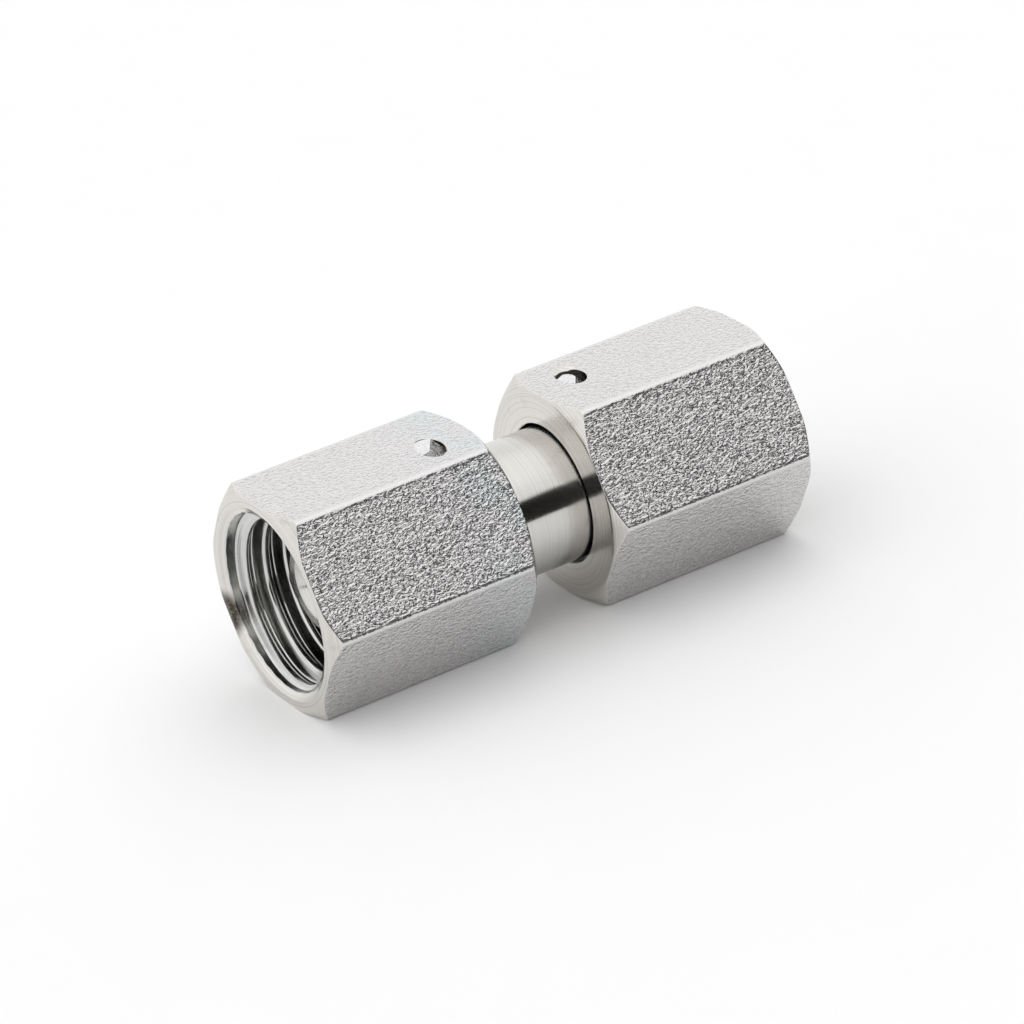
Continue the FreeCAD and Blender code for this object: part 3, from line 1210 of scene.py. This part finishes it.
@dataclass(frozen=True)
class LockingWire:
    """The wire that holds a nut on lengthways, in millimetres, made for the left end.

    Its ring lies in the groove between nut and nipple, shifted a little to one side. Its tail fills the
    slanting hole, cut off level with the flat and torn down beside it. Each tear has its heading from +X, how
    far from the wire's middle it starts, and how steeply it falls.
    """

    side: Side
    shift: float
    tears: tuple[tuple[float, float, float], ...]
    radius: float = 0.75
    sweep: float = 305.0
    level: float = 6.96
    level_reach: float = 3.0
    tear_reach: float = 2.0
    spread_radius: float = 0.96
    spread_start: float = 4.0
    spread_length: float = 0.5
    tail_length: float = 8.5
    tail_steps: int = 29
    ring_steps: int = 109
    sides: int = 24

    def path(self) -> list[Vector]:
        """The wire's middle line.

        Returns:
            Points from past the flat, down the hole and round the groove.
        """
        centre = self.shift - WIRE_CENTRE
        foot, outward, _ = wire_tail(centre, self.level)
        lengths = np.linspace(self.tail_length, 0.0, self.tail_steps + 1)
        points = [foot + outward * length for length in lengths]
        for angle in np.radians(WIRE_TILT - np.linspace(0, self.sweep, self.ring_steps + 1))[1:]:
            up = Vector((0.0, math.cos(angle), math.sin(angle)))
            points.append(Vector((centre, 0.0, 0.0)) + up * WIRE_RING_RADIUS)
        return points

    def spread_end(self, mesh: bpy.types.Mesh) -> None:
        """Spreads the tail, towards the flat, where it was driven against the wall of the hole.

        Args:
            mesh: the wire.
        """
        places = point_places(mesh)
        foot, outward, _ = (np.array(vector) for vector in wire_tail(self.shift - WIRE_CENTRE, self.level))
        along = (places - foot) @ outward
        share = np.clip((along - self.spread_start) / self.spread_length, 0, 1)
        axis = foot + along[:, None] * outward
        places += (places - axis) * (share * (self.spread_radius / self.radius - 1))[:, None]
        places[:, 0] -= share * self.shift
        mesh.vertices.foreach_set("co", places.ravel())

    def cut_end(self, mesh: bpy.types.Mesh) -> bpy.types.Mesh:
        """Cuts the wire off level and tears it down.

        Args:
            mesh: the whole wire, with the finish of torn faces second.

        Returns:
            The wire with its end cut.
        """
        _, _, middle = wire_tail(self.shift - WIRE_CENTRE, self.level)
        mesh = cut_away(mesh, shears(middle, Vector((0.0, 0.0, 1.0)), self.level_reach), mesh.materials[0])
        for heading, from_middle, fall in self.tears:
            along = Vector((math.cos(math.radians(heading)), math.sin(math.radians(heading)), 0.0))
            slope = math.radians(fall)
            normal = along * math.sin(slope) + Vector((0.0, 0.0, math.cos(slope)))
            block = shears(middle + along * from_middle, normal, self.tear_reach)
            mesh = cut_away(mesh, block, mesh.materials[1])
        return mesh

    def build(self, finish: bpy.types.Material, torn: bpy.types.Material) -> bpy.types.Object:
        """Draws the wire along its path, cuts its end and sets it in place.

        Args:
            finish: the finish of the wire.
            torn: the finish of its torn faces.

        Returns:
            The piece.
        """
        points = self.path()
        path = bpy.data.meshes.new("wire_path")
        path.from_pydata(points, [(number, number + 1) for number in range(len(points) - 1)], [])
        mesh = wire_rule().run(path, {"Radius": self.radius, "Sides": self.sides, "Finish": finish})
        mesh.materials.append(torn)
        self.spread_end(mesh)
        mesh = self.cut_end(mesh)
        mesh.transform(self.side.turn)
        node = f"{self.side.value}_locking_wire"
        return finish_piece(f"{node}_drawn", mesh, self.side.nut_body, node)


@dataclass(frozen=True)
class Studio:
    """The pale floor, the soft surrounding light and the camera."""

    floor_colour: str = "FAFAFA"
    fibre_colour: str = "F8F8F8"
    fibre_mm: float = 4.0
    floor_half_size: float = 1.5
    light_strength: float = 1.12
    dark_level: float = 0.02
    front_heading: float = 25.0
    front_dark_top: float = 32.5
    back_dark_top: float = -3.0
    front_from: float = -0.2
    front_to: float = 0.5
    dark_edge: float = 1.5
    dark_bottom: float = -0.5
    overhead_boost: float = 0.15
    overhead_from: float = 42.0
    overhead_to: float = 62.0
    camera_azimuth: float = -28.70
    camera_elevation: float = 26.36
    camera_roll: float = -7.92
    camera_distance_mm: float = 329.64
    aim_mm: tuple[float, float, float] = (-0.214, 0.008, -0.193)
    lens: float = 180.92
    sensor: float = 36.0

    def floor(self) -> None:
        """Lays a plain floor under the lowest point of the part."""
        sheet = ShaderSheet("matte_paper")
        fibres = sheet.noise(self.fibre_mm, detail=3.0)
        sheet.set(base_color=sheet.mixed(fibres, self.floor_colour, self.fibre_colour), roughness=0.95)
        size, height = self.floor_half_size, CAD_BOX[0].z
        mesh = bpy.data.meshes.new("paper_floor")
        corners = [(-size, -size, height), (size, -size, height), (size, size, height), (-size, size, height)]
        mesh.from_pydata(corners, [], [(0, 1, 2, 3)])
        mesh.materials.append(sheet.material)
        floor = add_object("paper_floor", mesh)

    def light(self) -> None:
        """Surrounds the part with white light, with a dark gap between the table and the softbox above it."""
        world = bpy.data.worlds.new("studio")
        bpy.context.scene.world = world
        world.use_nodes = True
        writer = TreeWriter(world.node_tree)
        coordinates = writer.node("ShaderNodeTexCoord")
        split = writer.node("ShaderNodeSeparateXYZ", inputs={0: coordinates.outputs["Generated"]})
        along, across, up = (Formula(writer, socket) for socket in split.outputs)
        heading = math.radians(self.front_heading)
        level = (along * along + across * across).math("SQRT").math("MAXIMUM", 1e-4)
        frontness = (along * math.sin(heading) - across * math.cos(heading)) / level
        in_front = frontness.ramp(self.front_from, self.front_to)
        top = in_front * (self.front_dark_top - self.back_dark_top) + self.back_dark_top
        elevation = up.math("ARCSINE") * math.degrees(1)
        white = (elevation - top).ramp(-self.dark_edge, self.dark_edge)
        white = white.math("MAXIMUM", elevation.math("LESS_THAN", self.dark_bottom))
        shown = white.math("MAXIMUM", writer.number("ShaderNodeLightPath", output="Is Camera Ray"))
        overhead = elevation.ramp(self.overhead_from, self.overhead_to) * self.overhead_boost + 1.0
        strength = (shown * (self.light_strength - self.dark_level) + self.dark_level) * overhead
        background = writer.tree.nodes["Background"]
        writer.feed(background.inputs["Strength"], strength)
        writer.feed(background.inputs["Color"], linear_colour("FFFFFF"))
        bpy.context.scene.view_settings.view_transform = "Standard"

    def camera(self) -> None:
        """Sets the camera where the photograph was taken from."""
        azimuth, elevation = math.radians(self.camera_azimuth), math.radians(self.camera_elevation)
        back = Vector((math.sin(azimuth) * math.cos(elevation), -math.cos(azimuth) * math.cos(elevation),
                       math.sin(elevation)))
        lens = bpy.data.cameras.new("camera")
        lens.lens = self.lens
        lens.sensor_width = self.sensor
        lens.clip_start = 0.01
        lens.clip_end = 10.0
        camera = add_object("camera", lens)
        place = (Vector(self.aim_mm) + back * self.camera_distance_mm) * METRES_PER_MM
        roll = Matrix.Rotation(math.radians(self.camera_roll), 4, "Z")
        camera.matrix_world = Matrix.Translation(place) @ rotation_to(back) @ roll
        bpy.context.scene.camera = camera


def main() -> None:
    """Makes the finishes, builds the coupling piece by piece, and sets up the studio."""
    logging.basicConfig(level=logging.INFO, format="%(name)s: %(message)s")
    bar = ZincPlatedBar("zinc_plated_drawn_bar").material()
    turned = ZincPlatedTurning("zinc_plated_turning").material()
    # Thread flanks, which hold hardly any rings and look darker for standing in their own shade.
    bored = ZincPlatedTurning("zinc_plated_thread", steel="CFCFCD", ring_shade="C2C3C2", roughness=0.13,
                              anisotropy=0.3).material()
    # The nuts' turned ends and mouth, with coarser rings.
    faced = ZincPlatedTurning("zinc_plated_facing", steel="DAD7D2", ring_shade="C9C6C1", anisotropy=0.7,
                              feed_mm=0.13).material()
    wire = WorkedSteel("drawn_steel_wire").material()
    torn = WorkedSteel("torn_steel_wire", steel="B4B2B0", stain="3C3A38", roughness=0.35, grain_mm=0.28,
                       depth_mm=0.35).material()
    # The wall of the wire's hole, painted almost black as painted shade inside the hole.
    drilled = WorkedSteel("drilled_steel_painted_shade", steel="3A3836", stain="1E1C1B", roughness=0.45, grain_mm=0.2,
                          depth_mm=0.01).material()
    rubber = NitrileRubber("nitrile_rubber").material()
    Nipple().build(turned)
    for side in Side:
        Nut(side).build([bar, bored, faced, drilled])
        SealRing(side).build(rubber)
    left_tears = ((-33.0, 0.02, 20.0), (-75.0, 0.35, 35.0))
    right_tears = ((147.0, 0.4, 50.0), (180.0, 0.2, 50.0), (-157.0, 0.15, 50.0), (-135.0, 0.2, 50.0),
                   (-110.0, 0.3, 50.0), (-85.0, 0.4, 50.0), (-60.0, 0.5, 50.0))
    LockingWire(Side.LEFT, -WIRE_PLAY, left_tears).build(wire, torn)
    LockingWire(Side.RIGHT, WIRE_PLAY, right_tears).build(wire, torn)
    studio = Studio()
    studio.floor()
    studio.light()
    studio.camera()


if __name__ == "__main__":
    main()
